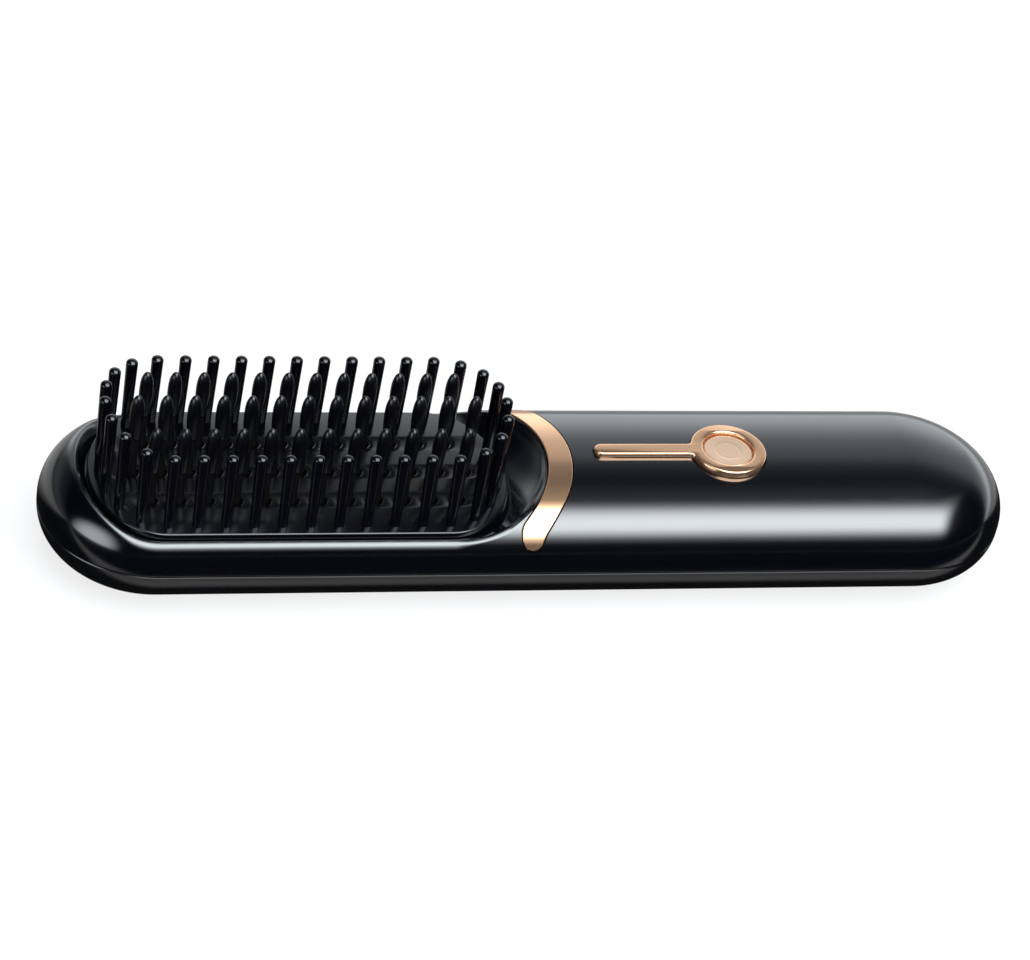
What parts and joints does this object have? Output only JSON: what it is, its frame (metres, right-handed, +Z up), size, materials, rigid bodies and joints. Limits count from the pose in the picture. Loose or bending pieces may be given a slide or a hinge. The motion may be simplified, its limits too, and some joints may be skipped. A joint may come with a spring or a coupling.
{
  "type": "hair straightening brush",
  "caption": "Cordless hair straightening brush: a long rounded body with a dished head of cool outer pins round capped heated teeth, a metal trim band and a power button.",
  "frame": {"origin": "under the middle of the body, on the flat that the brush rests on", "axes": "+X along the body from the comb head to the handle's end, +Z up out of the comb, +Y across"},
  "size_m": [0.2163, 0.0478, 0.0412],
  "materials": {
    "shell": "deep blue-black lacquer, soft gloss",
    "shell_lower": "deep blue-black lacquer, a shade softer",
    "gold": "polished rose gold plating",
    "button": "satin rose gold lacquer",
    "comb": "moulded dark nylon",
    "caps": "smooth dark heat-proof resin",
    "heater": "dark anodised cast aluminium",
    "seal": "soft silicone",
    "ceramic": "unglazed ceramic",
    "steel": "plated steel",
    "felt": "pressed fibre",
    "carrier": "glass-filled nylon",
    "sensor": "coated capsule",
    "cell": "shrink sleeve",
    "board": "solder resist",
    "chip": "moulded packages",
    "foam": "closed-cell foam",
    "cover": "soft cover, dark",
    "plug": "press-in plug"
  },
  "bodies": {
    "body": {"upper_housing": "shell", "lower_housing": "shell_lower", "trim_band": "gold", "button_bezel": "gold", "bristle_frame": "comb", "head_seal": "seal", "heating_plate": "heater", "plate_teeth": "heater", "tooth_caps": "caps", "thermistor": "sensor", "thermal_fuse": "steel", "heater_element": "ceramic", "heater_clamp": "steel", "insulation_pad": "felt", "head_carrier": "carrier", "carrier_screws": "steel", "battery_cells": "cell", "cell_tabs": "steel", "battery_pads": "foam", "battery_holder": "carrier", "control_board": "board", "board_components": "chip", "tact_switch": "chip", "charge_board": "board", "board_screws": "steel", "usb_c_socket": "steel", "housing_screws": "steel", "screw_plugs": "plug"},
    "button": {"power_button": "button"},
    "cover": {"port_cover": "cover"}
  },
  "joints": [
    {"name": "button_press", "type": "slide", "parent": "body", "child": "button", "axis": [0, 0, -1], "range_m": [0, 0.0005], "stiffness_N_per_m": 600},
    {"name": "cover_flap", "type": "hinge", "parent": "body", "child": "cover", "pos_m": [0.1074, 0, 0.0089], "axis": [0, 1, 0], "range_deg": [0, 100]}
  ]
}
